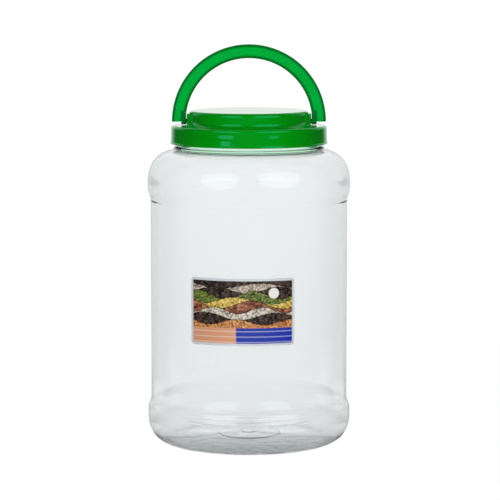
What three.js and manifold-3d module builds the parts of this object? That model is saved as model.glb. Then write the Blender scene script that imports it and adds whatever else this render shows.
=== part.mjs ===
// Wide-mouth storage jar with a screw lid and a swinging carry handle, in millimetres.
// The jar stands on z = 0 with its axis along +Z. Its label faces -Y, and the handle
// swings about an axis along X through the two pivot bosses of the lid.
import * as THREE from 'three';
import { mergeVertices } from 'three/addons/utils/BufferGeometryUtils.js';
import Module from 'manifold-3d';

const wasm = await Module();
wasm.setup();

// Jar body: two raised bands, and the label panel between them
const bandRadius = 85;
const panelInset = 2.6;
const bodyWall = 0.8;
const cornerHeight = 20.9;
const lowerBandHeight = 5.3;
const stepHeight = 12;
const panelHeight = 165.8;
const upperBandHeight = 0.4;
const shoulderBlendRadius = 45;
const shoulderBlendTurn = THREE.MathUtils.degToRad(15);
const shoulderFlat = 1.55;

// Jar base: a flat foot ring round a shallow push-up with a moulding gate
const baseWall = 1;
const footRadius = 69.8;
const footWidth = 2.4;
const baseRise = 3;
const baseStepRadius = 26.8;
const baseStepWidth = 2.8;
const baseStepHeight = 2.2;
const baseCrownHeight = 1.6;
const gateRadius = 5.8;
const gateReach = 0.5;

// Jar neck with its transfer bead
const neckRadius = 59.7;
const neckWall = 1.8;
const neckHeight = 16.9;
const rimRound = 0.5;
const beadLift = 0.4;
const beadReach = 3.25;
const beadHeight = 2.5;
const beadFaceShare = 0.5;

// Thread, right-handed, one start on the jar and one in the lid
const threadPitch = 6;
const threadReach = 2.9;
const threadRootWidth = 2.8;
const threadCrestWidth = 1.4;
const threadSink = 0.7;
const threadLift = 2;
const threadTurns = 1.35;
const lidThreadTurns = 1.25;
const lidThreadLift = 1;
const threadRunOutShare = 0.09;
const threadStartTurn = THREE.MathUtils.degToRad(200);

// Lid
const lidWall = 1.9;
const lidGap = 0.8;
const ledgeWall = 1.8;
const skirtHeight = 15.1;
const lipReach = 0.7;
const lipHeight = 1.6;
const ledgeRound = 1.3;
const crownRadius = 50.2;
const crownWall = 1.8;
const crownHeight = 12.1;
const crownRound = 1.1;
const bossReach = 1.7;
const bossHeight = 9.9;
const bossWidth = 24;

// Sealing disc under the ledge
const linerWall = 1;
const linerGap = 0.8;
const seatGap = 0.3;

// Carry handle: half a ring, with an ear and a pin at each end
const handleWidth = 11.6;
const handleThickness = 6;
const handleRound = 2;
const handleGap = 0.8;
const archDrop = 0.5;
const legLift = 0.5;
const foldGap = 0.3;
const earThickness = 4.4;
const earReach = 2.9;
const earWidth = 3.7;
const earHeight = 8.3;
const earGap = 0.4;
const pinRadius = 2;
const pinTipRadius = 1.7;
const pinGap = 0.35;

// Label on the front of the panel
const labelWidth = 87.7;
const labelHeight = 54.9;
const labelThickness = 0.25;
const labelGap = 0.3;
const labelCorner = 3;
const labelBottom = 91.8;
const labelTurn = THREE.MathUtils.degToRad(-4);

// How finely round shapes are divided
const jarSides = 48;
const lidSides = 56;
const labelSides = 120;
const cornerSteps = 5;
const stepSteps = 2;
const blendSteps = 2;
const shoulderSteps = 5;
const roundSteps = 3;
const archSteps = 20;
const pinSides = 20;

// How far a cutting body runs past the face that it cuts
const overrun = 1;

// Profile points that lie closer than this are one point
const sameSpot = 1e-6;

// Radii and heights that follow from the sizes above
const panelRadius = bandRadius - panelInset;
const footInner = footRadius - footWidth;
const lowerStepZ = cornerHeight + lowerBandHeight;
const panelLowZ = lowerStepZ + stepHeight;
const panelHighZ = panelLowZ + panelHeight;
const upperBandZ = panelHighZ + stepHeight;
const shoulderZ = upperBandZ + upperBandHeight;
const shoulderEndRadius = neckRadius + shoulderFlat;
const shoulderSpread = (shoulderEndRadius - bandRadius + shoulderBlendRadius) / Math.cos(shoulderBlendTurn);
const shoulderRadius = shoulderBlendRadius - shoulderSpread;
const shoulderCentreZ = shoulderZ + shoulderSpread * Math.sin(shoulderBlendTurn);
const neckZ = shoulderCentreZ + shoulderRadius;
const neckInner = neckRadius - neckWall;
const rimZ = neckZ + neckHeight;
const beadRadius = neckRadius + beadReach;
const beadLowZ = neckZ + beadLift;
const beadHighZ = beadLowZ + beadHeight;

const linerZ = rimZ + seatGap;
const ledgeLowZ = linerZ + linerWall + seatGap;
const ledgeZ = ledgeLowZ + ledgeWall;
const crownZ = ledgeZ + crownHeight;
const skirtZ = ledgeZ - skirtHeight;
const lidInner = neckRadius + threadReach + lidGap;
const lidRadius = lidInner + lidWall;
const lipRadius = lidRadius + lipReach;
const crownInner = crownRadius - crownWall;
const bossRadius = crownRadius + bossReach;

const neckThreadZ = beadHighZ + threadLift + threadRootWidth / 2;
const lidThreadZ = skirtZ + lidThreadLift + threadRootWidth / 2;
const lidThreadTurn = threadStartTurn + 2 * Math.PI * (lidThreadZ + threadPitch / 2 - neckThreadZ) / threadPitch;

const pivotZ = ledgeZ + foldGap + handleThickness / 2;
const handleInner = bossRadius + handleGap;
const handleRadius = handleInner + handleWidth;

// A Manifold solid from a closed geometry, turned the right way out
function solid(geometry) {
  const bare = geometry.index ? geometry.toNonIndexed() : geometry.clone();
  bare.deleteAttribute('normal');
  bare.deleteAttribute('uv');
  const merged = mergeVertices(bare);
  const vertProperties = new Float32Array(merged.attributes.position.array);
  const triVerts = new Uint32Array(merged.index.array);
  const body = new wasm.Manifold(new wasm.Mesh({ numProp: 3, vertProperties, triVerts }));
  if (body.volume() > 0) return body;
  return new wasm.Manifold(new wasm.Mesh({ numProp: 3, vertProperties, triVerts: triVerts.reverse() }));
}

// A named mesh from a Manifold solid
function piece(name, body, material) {
  const mesh = body.getMesh();
  const geometry = new THREE.BufferGeometry();
  geometry.setAttribute('position', new THREE.BufferAttribute(new Float32Array(mesh.vertProperties), 3));
  geometry.setIndex(new THREE.BufferAttribute(new Uint32Array(mesh.triVerts), 1));
  geometry.computeVertexNormals();
  const object = new THREE.Mesh(geometry, material);
  object.name = name;
  return object;
}

// Points of a round stretch of a profile, from one turn to another
function arc(centreR, centreZ, radiusR, radiusZ, fromTurn, toTurn, steps) {
  return Array.from({ length: steps + 1 }, (unused, i) => {
    const turn = fromTurn + (toTurn - fromTurn) * i / steps;
    return new THREE.Vector2(centreR + radiusR * Math.cos(turn), centreZ + radiusZ * Math.sin(turn));
  });
}

// A body turned about Z from profile points (radius, height), without doubled points
function turned(points, sides) {
  const profile = points.filter((p, i) => i === 0 || p.distanceTo(points[i - 1]) > sameSpot);
  return solid(new THREE.LatheGeometry(profile, sides).rotateX(Math.PI / 2));
}

function at(r, z) {
  return new THREE.Vector2(r, z);
}

// The wall from the foot to the shoulder, moved in from the outer face by an inset
function wallPoints(inset) {
  const quarter = Math.PI / 2;
  const stepTurn = 2 * Math.atan(panelInset / stepHeight);
  const stepRadius = stepHeight / (2 * Math.sin(stepTurn));
  const full = stepRadius - inset;
  const hollow = stepRadius + inset;
  const fullR = bandRadius - stepRadius;
  const hollowR = panelRadius + stepRadius;
  const blend = shoulderBlendRadius - inset;
  const shoulder = shoulderRadius - inset;
  return [
    ...arc(footRadius, cornerHeight, bandRadius - footRadius - inset, cornerHeight - inset, -quarter, 0, cornerSteps),
    ...arc(fullR, lowerStepZ, full, full, 0, stepTurn, stepSteps),
    ...arc(hollowR, panelLowZ, hollow, hollow, Math.PI + stepTurn, Math.PI, stepSteps),
    ...arc(hollowR, panelHighZ, hollow, hollow, Math.PI, Math.PI - stepTurn, stepSteps),
    ...arc(fullR, upperBandZ, full, full, -stepTurn, 0, stepSteps),
    ...arc(bandRadius - shoulderBlendRadius, shoulderZ, blend, blend, 0, shoulderBlendTurn, blendSteps),
    ...arc(shoulderEndRadius, shoulderCentreZ, shoulder, shoulder, shoulderBlendTurn, quarter, shoulderSteps),
  ];
}

// The push-up inside the foot ring, from the axis outwards, raised by a lift
function pushUpPoints(lift) {
  const stepZ = baseRise + lift;
  const crownBaseZ = stepZ + baseStepHeight + baseCrownHeight;
  return [
    at(gateRadius, crownBaseZ),
    at(baseStepRadius - baseStepWidth, stepZ + baseStepHeight),
    at(baseStepRadius, stepZ),
    at(footInner, lift),
  ];
}

// A ridge that winds up a cylinder and sinks back into it at both ends
function helicalRidge({ wallRadius, sink, reach, startZ, startTurn, turns }) {
  const sections = Math.round(turns * jarSides);
  const runOut = Math.round(threadRunOutShare * jarSides);
  const corners = [[0, -threadRootWidth], [1, -threadCrestWidth], [1, threadCrestWidth], [0, threadRootWidth]];
  const positions = [];
  for (let i = 0; i <= sections; i += 1) {
    const rise = Math.min(1, i / runOut, (sections - i) / runOut);
    const turn = startTurn + 2 * Math.PI * turns * i / sections;
    const crest = wallRadius + reach * rise - sink * (1 - rise) / 2;
    for (const [out, width] of corners) {
      const radius = out ? crest : wallRadius - sink;
      const z = startZ + threadPitch * turns * i / sections + width / 2;
      positions.push(radius * Math.cos(turn), radius * Math.sin(turn), z);
    }
  }
  const index = [];
  const around = corners.length;
  for (let i = 0; i < sections; i += 1) {
    for (let j = 0; j < around; j += 1) {
      const a = around * i + j;
      const b = around * i + (j + 1) % around;
      index.push(a, b, a + around, b, b + around, a + around);
    }
  }
  const last = around * sections;
  index.push(0, 2, 1, 0, 3, 2, last, last + 1, last + 2, last, last + 2, last + 3);
  const geometry = new THREE.BufferGeometry();
  geometry.setAttribute('position', new THREE.Float32BufferAttribute(positions, 3));
  geometry.setIndex(index);
  return solid(geometry);
}

// A round bar along X between two places, with its own radius at each end
function barAlongX(fromX, toX, fromRadius, toRadius, z) {
  const bar = new THREE.CylinderGeometry(toRadius, fromRadius, Math.abs(toX - fromX), pinSides);
  bar.rotateZ(toX > fromX ? -Math.PI / 2 : Math.PI / 2);
  return solid(bar.translate((fromX + toX) / 2, 0, z));
}

// Clear blown shell with its foot, bands, shoulder, neck, bead and thread
function jarBody() {
  const gateZ = baseRise + baseStepHeight + baseCrownHeight;
  const beadFace = beadHeight * beadFaceShare / 2;
  const beadMidZ = (beadLowZ + beadHighZ) / 2;
  const innerCrownZ = gateZ + baseWall;
  const shell = turned([
    at(0, gateZ - gateReach),
    at(gateRadius, gateZ - gateReach),
    ...pushUpPoints(0),
    ...wallPoints(0),
    at(neckRadius, neckZ),
    at(neckRadius, beadLowZ),
    at(beadRadius, beadMidZ - beadFace),
    at(beadRadius, beadMidZ + beadFace),
    at(neckRadius, beadHighZ),
    at(neckRadius, rimZ - rimRound),
    at(neckRadius - rimRound, rimZ),
    at(neckInner + rimRound, rimZ),
    at(neckInner, rimZ - rimRound),
    at(neckInner, neckZ - bodyWall),
    ...wallPoints(bodyWall).reverse(),
    ...pushUpPoints(baseWall).reverse(),
    at(0, innerCrownZ),
  ], jarSides);
  const thread = helicalRidge({
    wallRadius: neckRadius,
    sink: threadSink,
    reach: threadReach,
    startZ: neckThreadZ,
    startTurn: threadStartTurn,
    turns: threadTurns,
  });
  return shell.add(thread);
}

// Printed sheet, cut from a thin ring by a prism with rounded corners
function labelSheet() {
  const inner = panelRadius + labelGap;
  const outer = inner + labelThickness;
  const highZ = labelBottom + labelHeight;
  const ring = turned([
    at(inner, labelBottom),
    at(outer, labelBottom),
    at(outer, highZ),
    at(inner, highZ),
    at(inner, labelBottom),
  ], labelSides);
  const halfTurn = labelWidth / (2 * outer);
  const half = outer * Math.sin(halfTurn);
  const low = labelBottom - overrun;
  const high = highZ + overrun;
  const outline = new THREE.Shape();
  outline.moveTo(-half, labelBottom + labelCorner);
  outline.absarc(-half + labelCorner, labelBottom + labelCorner, labelCorner, Math.PI, 1.5 * Math.PI);
  outline.absarc(half - labelCorner, labelBottom + labelCorner, labelCorner, -Math.PI / 2, 0);
  outline.absarc(half - labelCorner, highZ - labelCorner, labelCorner, 0, Math.PI / 2);
  outline.absarc(-half + labelCorner, highZ - labelCorner, labelCorner, Math.PI / 2, Math.PI);
  const cutter = new THREE.ExtrudeGeometry(outline, { depth: outer, bevelEnabled: false, curveSegments: roundSteps });
  cutter.rotateX(Math.PI / 2);
  cutter.translate(0, -overrun, 0);
  const sheet = ring.intersect(solid(cutter));
  return sheet.rotate([0, 0, THREE.MathUtils.radToDeg(labelTurn)]);
}

// A thickened stretch of the crown's side, on the side of the given sign
function pivotBoss(side) {
  const halfTurn = bossWidth / (2 * bossRadius);
  const sunk = crownRadius - crownWall / 2;
  const middle = side > 0 ? 0 : Math.PI;
  const outline = new THREE.Shape();
  outline.absarc(0, 0, bossRadius, middle - halfTurn, middle + halfTurn, false);
  outline.absarc(0, 0, sunk, middle + halfTurn, middle - halfTurn, true);
  const lowZ = ledgeZ - ledgeWall / 2;
  const depth = ledgeZ + bossHeight - lowZ;
  const boss = new THREE.ExtrudeGeometry(outline, { depth, bevelEnabled: false, curveSegments: roundSteps * 2 });
  return solid(boss.translate(0, 0, lowZ));
}

// Screw cap: skirt, ledge and crown in one turned shell, with thread, bosses and pin holes
function lidCap() {
  const quarter = Math.PI / 2;
  const edgeR = lidRadius - ledgeRound;
  const edgeZ = ledgeZ - ledgeRound;
  const topR = crownRadius - crownRound;
  const topZ = crownZ - crownRound;
  let cap = turned([
    at(0, crownZ - crownWall),
    at(crownInner, crownZ - crownWall),
    at(crownInner, ledgeLowZ),
    at(lidInner, ledgeLowZ),
    at(lidInner, skirtZ),
    at(lipRadius, skirtZ),
    at(lipRadius, skirtZ + lipHeight),
    at(lidRadius, skirtZ + lipHeight + lipReach),
    ...arc(edgeR, edgeZ, ledgeRound, ledgeRound, 0, quarter, roundSteps),
    at(crownRadius, ledgeZ),
    ...arc(topR, topZ, crownRound, crownRound, 0, quarter, roundSteps),
    at(0, crownZ),
  ], lidSides);
  cap = cap.add(helicalRidge({
    wallRadius: lidInner,
    sink: -threadSink,
    reach: -threadReach,
    startZ: lidThreadZ,
    startTurn: lidThreadTurn,
    turns: lidThreadTurns,
  }));
  for (const side of [-1, 1]) {
    const hole = pinRadius + pinGap;
    cap = cap.add(pivotBoss(side));
    cap = cap.subtract(barAlongX(side * (crownInner - overrun), side * (bossRadius + overrun), hole, hole, pivotZ));
  }
  return cap;
}

// Foam disc that the rim presses against the underside of the ledge
function sealingDisc() {
  const radius = lidInner - linerGap;
  const highZ = linerZ + linerWall;
  return turned([at(0, linerZ), at(radius, linerZ), at(radius, highZ), at(0, highZ)], lidSides);
}

// Ear at a leg's inner edge: straight sides over a round lower end
function handleEar(side) {
  const half = earThickness / 2;
  const innerX = bossRadius + earGap;
  const outline = new THREE.Shape();
  outline.moveTo(half, earHeight);
  outline.lineTo(-half, earHeight);
  outline.absarc(0, half - earReach, half, Math.PI, 2 * Math.PI);
  const depth = handleInner + earWidth - innerX;
  const ear = new THREE.ExtrudeGeometry(outline, { depth, bevelEnabled: false, curveSegments: pinSides / 2 });
  ear.rotateX(Math.PI / 2);
  ear.rotateZ(Math.PI / 2);
  return solid(ear.translate(side > 0 ? innerX : -innerX - depth, 0, pivotZ));
}

// The two shallow pockets that leave a leg as thin as its ear
function earPockets(side) {
  const deep = handleThickness / 2 - earThickness / 2;
  const wide = earWidth + overrun;
  const tall = earHeight + earReach;
  const pockets = [];
  for (const face of [-1, 1]) {
    const pocket = new THREE.BoxGeometry(wide, deep + overrun, tall);
    const x = side * (handleInner + earWidth - wide / 2);
    const y = face * (earThickness / 2 + (deep + overrun) / 2);
    pockets.push(solid(pocket.translate(x, y, pivotZ + earHeight - tall / 2)));
  }
  return pockets;
}

// Half-ring bail with rounded edges; its pins point inwards into the lid's bosses
function carryHandle() {
  const outerR = handleRadius - handleRound;
  const innerR = handleInner + handleRound;
  const endY = legLift + archDrop + handleRound;
  const outerTurn = Math.asin(endY / outerR);
  const innerTurn = Math.asin(endY / innerR);
  const outline = new THREE.Shape();
  outline.absarc(0, 0, outerR, outerTurn, Math.PI - outerTurn, false);
  outline.absarc(0, 0, innerR, Math.PI - innerTurn, innerTurn, true);
  const depth = handleThickness - 2 * handleRound;
  const arch = new THREE.ExtrudeGeometry(outline, {
    depth,
    bevelThickness: handleRound,
    bevelSize: handleRound,
    bevelSegments: roundSteps,
    curveSegments: archSteps,
  });
  arch.translate(0, 0, -depth / 2).rotateX(Math.PI / 2);
  let handle = solid(arch.translate(0, 0, pivotZ - archDrop));
  for (const side of [-1, 1]) {
    for (const pocket of earPockets(side)) handle = handle.subtract(pocket);
    handle = handle.add(handleEar(side));
    const rootX = side * (handleInner + earWidth / 2);
    handle = handle.add(barAlongX(rootX, side * crownInner, pinRadius, pinTipRadius, pivotZ));
  }
  return handle;
}

const clearPlastic = new THREE.MeshStandardMaterial({
  color: 0xe6eeee,
  roughness: 0.06,
  metalness: 0,
  transparent: true,
  opacity: 0.3,
});
const greenPlastic = new THREE.MeshStandardMaterial({ color: 0x0a9a24, roughness: 0.25, metalness: 0 });
const printedPaper = new THREE.MeshStandardMaterial({ color: 0xc9b79a, roughness: 0.35, metalness: 0 });
const whiteFoam = new THREE.MeshStandardMaterial({ color: 0xf2f2ee, roughness: 0.8, metalness: 0 });

const jar = new THREE.Group();
jar.add(piece('jar_body', jarBody(), clearPlastic));
jar.add(piece('label', labelSheet(), printedPaper));
jar.add(piece('lid_liner', sealingDisc(), whiteFoam));
jar.add(piece('lid_cap', lidCap(), greenPlastic));
jar.add(piece('carry_handle', carryHandle(), greenPlastic.clone()));

export default jar;
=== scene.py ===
"""Looks of a clear storage jar with a green screw lid and a swinging carry handle.

Sizes are named in millimetres, and meshes are made in metres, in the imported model's frame:
+Z up, the label towards -Y, the handle's axis along X.
"""
import math

import bmesh
import bpy
from mathutils import Matrix, Vector


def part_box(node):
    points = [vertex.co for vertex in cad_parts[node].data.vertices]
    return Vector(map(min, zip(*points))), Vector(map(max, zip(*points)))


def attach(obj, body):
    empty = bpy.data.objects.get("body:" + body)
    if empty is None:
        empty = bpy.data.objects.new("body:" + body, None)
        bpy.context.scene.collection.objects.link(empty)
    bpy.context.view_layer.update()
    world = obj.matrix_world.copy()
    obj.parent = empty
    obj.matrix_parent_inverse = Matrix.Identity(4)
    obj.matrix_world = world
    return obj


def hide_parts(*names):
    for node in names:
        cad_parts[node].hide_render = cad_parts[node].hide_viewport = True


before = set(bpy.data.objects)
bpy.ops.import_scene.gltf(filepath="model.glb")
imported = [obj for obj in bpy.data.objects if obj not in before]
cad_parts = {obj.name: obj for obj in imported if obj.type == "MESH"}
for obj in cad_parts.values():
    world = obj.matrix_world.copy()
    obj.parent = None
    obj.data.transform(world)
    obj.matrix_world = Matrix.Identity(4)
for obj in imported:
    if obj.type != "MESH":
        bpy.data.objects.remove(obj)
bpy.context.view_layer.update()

MM = 0.001
QUARTER = math.pi / 2
HALF_TURN = math.pi
FULL_TURN = 2 * math.pi


def box_mm(node):
    """Lowest and highest corner of a CAD node, in millimetres."""
    return [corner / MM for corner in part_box(node)]


jar_high = box_mm("jar_body")[1]
lid_low, lid_high = box_mm("lid_cap")
liner_low, liner_high = box_mm("lid_liner")
handle_low, handle_high = box_mm("carry_handle")
label_low, label_high = box_mm("label")

# Jar body
BAND_RADIUS = jar_high.x
BODY_WALL = 0.8
PANEL_INSET = 2.6
CORNER_HEIGHT = 20.9
LOWER_BAND_HEIGHT = 5.3
STEP_HEIGHT = 12
LOWER_FOLD_SHARE = 0.5
UPPER_FOLD_SHARE = 0.03
PANEL_HEIGHT = 165.8
UPPER_BAND_HEIGHT = 0.4
SHOULDER_BLEND_RADIUS = 45
SHOULDER_BLEND_TURN = math.radians(15)
SHOULDER_FLAT = 1.55

# Dents in the blown wall: a crease in both faces at the panel's top, deepest at the sides and gone
# at the back, and a dip on the front of the lower step. Shares run from -1 at the back to 1 in front
CREASE_DEPTH = 0.2
CREASE_BACK_SHARES = (-0.2, 0.1)
CREASE_FRONT_SHARES = (0.2, 0.7)
CREASE_FRONT_DEPTH = 0.25
CREASE_REACH = 1.6
CREASE_ROWS = 5
DIP_DEPTH = 0.5
DIP_RISE = 5.9
DIP_REACH = 5
DIP_FRONT_SHARES = (0.65, 0.82)

# Jar base
BASE_WALL = 1
FOOT_RADIUS = 69.8
FOOT_WIDTH = 2.4
FOOT_ROUND = 30
BASE_RISE = 3
BASE_STEP_RADIUS = 26.8
BASE_STEP_WIDTH = 1.4
BASE_STEP_HEIGHT = 0.7
BASE_STEP_FOOT_ROUND = 0.5
BASE_STEP_TOP_ROUND = 0.5
BASE_CROWN_HEIGHT = 1.4
GATE_RADIUS = 5.8
GATE_REACH = 0.5
GATE_ROUND = 0.3

# Jar neck and its thread
NECK_RADIUS = 59.7
NECK_WALL = 1.8
NECK_ROUND = 0.7
RIM_ROUND = 0.6
BEAD_LIFT = 0.4
BEAD_REACH = 3.25
BEAD_HEIGHT = 2.5
BEAD_FACE = 1.25
BEAD_ROUND = 0.35
THREAD_PITCH = 6
THREAD_REACH = 2.9
THREAD_ROOT_WIDTH = 2.8
THREAD_CREST_WIDTH = 1.4
THREAD_LIFT = 2
THREAD_TURNS = 1.35
LID_THREAD_TURNS = 1.25
LID_THREAD_LIFT = 1
THREAD_RUN_OUT_SHARE = 0.09
THREAD_START_TURN = math.radians(200)
THREAD_ROW = 0.3

# Lid
LID_WALL = 1.9
LID_GAP = 0.8
LEDGE_WALL = 1.8
LIP_REACH = 0.7
LIP_HEIGHT = 1.6
LIP_ROUND = 0.35
SKIRT_ROUND = 15
SKIRT_LOW_SWELL = 0.22
SKIRT_MID_SWELL = 0.08
SKIRT_TOP_SWELL = -0.06
SKIRT_LOW_HEIGHT = 1.8
SKIRT_WAIST_HEIGHTS = (5.9, 7.8)
SKIRT_TOP_HEIGHT = 10.6
LEDGE_ROUND = 2.1
LEDGE_HEIGHT = 15.1
CROWN_RADIUS = 50.2
CROWN_WALL = 1.8
CROWN_ROUND = 3
CROWN_FOOT_ROUND = 3.3
CROWN_INNER_ROUND = 0.6
BOSS_REACH = 1.7
BOSS_HEIGHT = 9.9
BOSS_WIDTH = 24
BOSS_ROUND = 0.45

# Sealing disc
LINER_ROUND = 0.25

# Carry handle
HANDLE_WIDTH = 11.6
HANDLE_THICKNESS = handle_high.y - handle_low.y
HANDLE_ROUND = 2.6
HANDLE_END_ROUND = 0.5
HANDLE_GAP = 0.8
ARCH_DROP = 0.5
LEG_LIFT = -0.5
FOLD_GAP = 0.3
EAR_THICKNESS = 4.4
WEB_THICKNESS = 4.5
EAR_REACH = 2.9
EAR_WIDTH = 3.7
EAR_HEIGHT = 8.3
EAR_GAP = 0.4
EAR_ROUND = 0.35
PIN_RADIUS = 2
PIN_TIP_RADIUS = 1.7
PIN_GAP = 0.35

# Label
LABEL_WIDTH = 87.7
LABEL_THICKNESS = 0.25
LABEL_GAP = 0.3
LABEL_CORNER = 3
LABEL_TURN = math.radians(-4)

# The label's print, in millimetres from its lower left corner: each hill has a wavy line
# (height, swing, length, start), then its grains' size, stretch and two shades
PRINT_MARGIN = 2
PRINT_CORNER = 1.2
PRINT_FADE = 0.15
STRIP_HEIGHT = 14.5
STRIP_SPLIT = 39
STRIP_FADE = 0.3
STRIP_TAN = (0.72, 0.34, 0.18, 1)
STRIP_BLUE = (0.012, 0.035, 0.42, 1)
RULE_PITCH = 2.2
RULE_WIDTH = 0.7
RULE_SHARE = 0.45
RULE_COLOUR = (0.9, 0.9, 0.9, 1)
SKY_GRAIN = 2.6
GRAIN_EDGE_SHARE = 0.35
GAP_SHADE = 0.25
HILL_ROUGHNESS = 1.2
HILL_RIM = 0.5
HILL_RIM_COLOUR = (0.01, 0.008, 0.006, 1)
WOBBLE_SCALE = 0.4
WOBBLE_DETAIL = 2
SUN_PLACE = (70, 43, 0)
SUN_RADIUS = 4.6
SUN_COLOUR = (0.86, 0.85, 0.78, 1)
DARK_BROWNS = ((0.012, 0.008, 0.008, 1), (0.12, 0.08, 0.06, 1))
ORANGES = ((0.5, 0.16, 0.04, 1), (0.85, 0.45, 0.16, 1))
SANDS = ((0.35, 0.25, 0.17, 1), (0.75, 0.68, 0.58, 1))
OLIVES = ((0.06, 0.1, 0.012, 1), (0.3, 0.38, 0.08, 1))
CREAMS = ((0.5, 0.42, 0.3, 1), (0.85, 0.82, 0.72, 1))
RED_BROWNS = ((0.2, 0.05, 0.02, 1), (0.55, 0.22, 0.12, 1))
YELLOWS = ((0.6, 0.35, 0.03, 1), (0.9, 0.75, 0.2, 1))
HILLS = (
    ((49.5, 2.2, 67, 2.4), 1.6, (1, 1, 1), SANDS),
    ((46, 2.6, 52, 5.2), 2.2, (1, 1.2, 1), DARK_BROWNS),
    ((42, 3.4, 46, 0.6), 1.8, (1, 1.4, 1), OLIVES),
    ((37.5, 3, 61, 3.9), 1.5, (1, 1, 1), YELLOWS),
    ((34, 3.6, 53, 1.8), 2.1, (0.7, 1, 1), RED_BROWNS),
    ((29.5, 2.6, 40, 4.6), 1.7, (1, 1, 1), CREAMS),
    ((24.5, 2.8, 58, 0.2), 2.2, (1, 1.3, 1), DARK_BROWNS),
    ((20, 2.2, 47, 2.6), 1.4, (1, 1, 1), ORANGES),
)

# Label film: noise scales of all finishes are per metre, or per millimetre of the print
BORDER_COLOURS = ((0.58, 0.62, 0.66, 1), (0.74, 0.78, 0.8, 1))
HAZE_SCALE = 0.9
HAZE_DETAIL = 3
FILM_ROUGHNESS = 0.2
FILM_SWING = 0.12
FILM_STRENGTH = 0.3
FILM_RELIEF = 0.05
BACK_COLOURS = ((0.8, 0.8, 0.78, 1), (0.9, 0.9, 0.89, 1))
BACK_ROUGHNESS = 0.5
BACK_SLOT = 1
FIBRE_SCALE = 700
FIBRE_DETAIL = 4

# Clear plastic: the wall, then the back and the front of the part below the panel
CLEAR_IORS = {"clear_wall": 1.52, "clear_base": 1.6, "clear_front": 1.7}
CLEAR_NAMES = list(CLEAR_IORS)
CLEAR_COLOUR = (0.965, 0.983, 0.988, 1)
CLEAR_ROUGHNESS = 0.04
# Painted green light from the lid on the bead below it
PAINTED_BEAD_GREEN = (0.6, 0.965, 0.71, 1)
PAINTED_GREEN_FADE = 0.8
UNEVEN_STRETCH = (14, 14, 5)
UNEVEN_DETAIL = 1
UNEVEN_HEIGHT = 0.15
STREAK_HEIGHT = 0.04
STREAK_FRONT = (-0.055, -0.07)
STREAK_FADE = 2
STREAK_PITCH = 2.8
STREAK_DROP = 1.5
STREAK_WANDER = 1.2
WANDER_STRETCH = (10, 10, 60)
WANDER_DETAIL = 1
MOTTLE_STRETCH = (110, 110, 110)
MOTTLE_DETAIL = 3
MOTTLE_HEIGHT = 0.3
MOTTLE_EDGES = (-1, 4)
MOTTLE_FADE = 8
MOTTLE_FRONT = (0.006, -0.012)

# Green plastics, each from its deeper shade to its lighter one, and the painted shade on the handle's
# rims
LID_GREENS = ((0.001, 0.32, 0.002, 1), (0.001, 0.35, 0.002, 1))
LID_ROUGHNESS = 0.08
LID_IOR = 2.1
HANDLE_GREENS = ((0.001, 0.52, 0.038, 1), (0.001, 0.57, 0.042, 1))
HANDLE_ROUGHNESS = 0.15
HANDLE_IOR = 1.5
HANDLE_GLOW_SHARE = 0.2
GREEN_GLOSS = (0.02, 1, 0.8, 1)
COAT_IOR = 1.2
COAT_ROUGHNESS = 0.08
CLOUD_SCALE = 30
CLOUD_DETAIL = 2
CLOUD_EDGES = (0.3, 0.7)
FINE_SCALE = 220
FINE_DETAIL = 4
FINE_SWING = 0.05
PORE_SCALE = 500
PORE_DETAIL = 2
PORE_STRENGTH = 0.2
PORE_RELIEF = 0.01
RIM_WIDTH = 3.2
RIM_FADE = 1.6
PAINTED_RIM_SHADE = 0.5

# Foam
FOAM_COLOURS = ((0.86, 0.86, 0.83, 1), (0.93, 0.93, 0.91, 1))
FOAM_ROUGHNESS = 0.75
FOAM_SCALE = 1400
FOAM_STRENGTH = 0.4
FOAM_RELIEF = 0.1

# Camera
CAMERA_PLACE = (0.9, -1933.1, 393.8)
CAMERA_PITCH = math.radians(6.89)
FOCAL_PIXELS = 2318
PHOTO_PIXELS = 500
SENSOR_WIDTH = 36

# Two softboxes and a fill in front of the jar: azimuth from -Y towards +X, elevation, and size as angles
SOFTBOX_DISTANCE = 1400
LEFT_BOX = {"azimuth": -33.5, "elevation": 23.5, "wide": 40, "tall": 41}
RIGHT_BOX = {"azimuth": 36.5, "elevation": 27.5, "wide": 48, "tall": 44}
SOFTBOX_RADIANCE = 0.6
FILL = {"azimuth": 0, "elevation": 6, "wide": 70, "tall": 40}
FILL_RADIANCE = 2.9

# Studio as gloss shows it: white at the back, dark in front. Edges are shares of a ray's way
BACK_EDGES = (0.7, 0.99)
BACK_LEVEL = 0.87
SIDE_EDGES = (0.2, 0.75)
SIDE_LEVEL = 0.5
SIDE_RISE = (0, 0.04)
FRONT_LEVEL = 0.02
FAR_LEVEL = 1.06

# Floor, and the painted light and shade of the jar on it: distances are in metres
FLOOR_REACH = 30
FLOOR_COLOUR = (0.02, 0.02, 0.02, 1)
FLOOR_RISE_REACH = 2.5
SIDE_REACH = (3.2, 2.4)
# Painted light and shade that the floor shows in gloss alone: bright rings beside the jar and at its
# foot, dark under it
UNDER_REACH = (0.09, 0.085)
UNDER_EDGES = (-0.01, 0.01)
PAINTED_NEAR_LIGHT = 0.65
NEAR_START = (0.078, 0.09)
NEAR_END = (0.45, 0.3)
NEAR_BACK = (-0.5, 0.2)
NEAR_ROUND = (0.16, 0.11)
NEAR_BEHIND = (0.1, 0.6)
PAINTED_FOOT_LIGHT = 0.55
FOOT_RISE = (0.066, 0.07)
FOOT_FALL = (0.085, 0.072)
# The jar's shadow is painted on the floor as a half moon of shade, darker towards the front
SHADE_CENTRE = (0, 0.0015, 0)
SHADE_RADIUS = 0.071
SHADE_FADE = 0.0035
SHADE_BACK = -0.003
SHADE_BACK_DARKNESS = 0.34
SHADE_FRONT_DARKNESS = 0.82
SHADE_SIDES = (0.03, 0.07)
SHADE_SIDE_SHARE = 0.75
PAINTED_SHADE_COLOUR = (0.93, 1, 1.01, 1)
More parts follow.
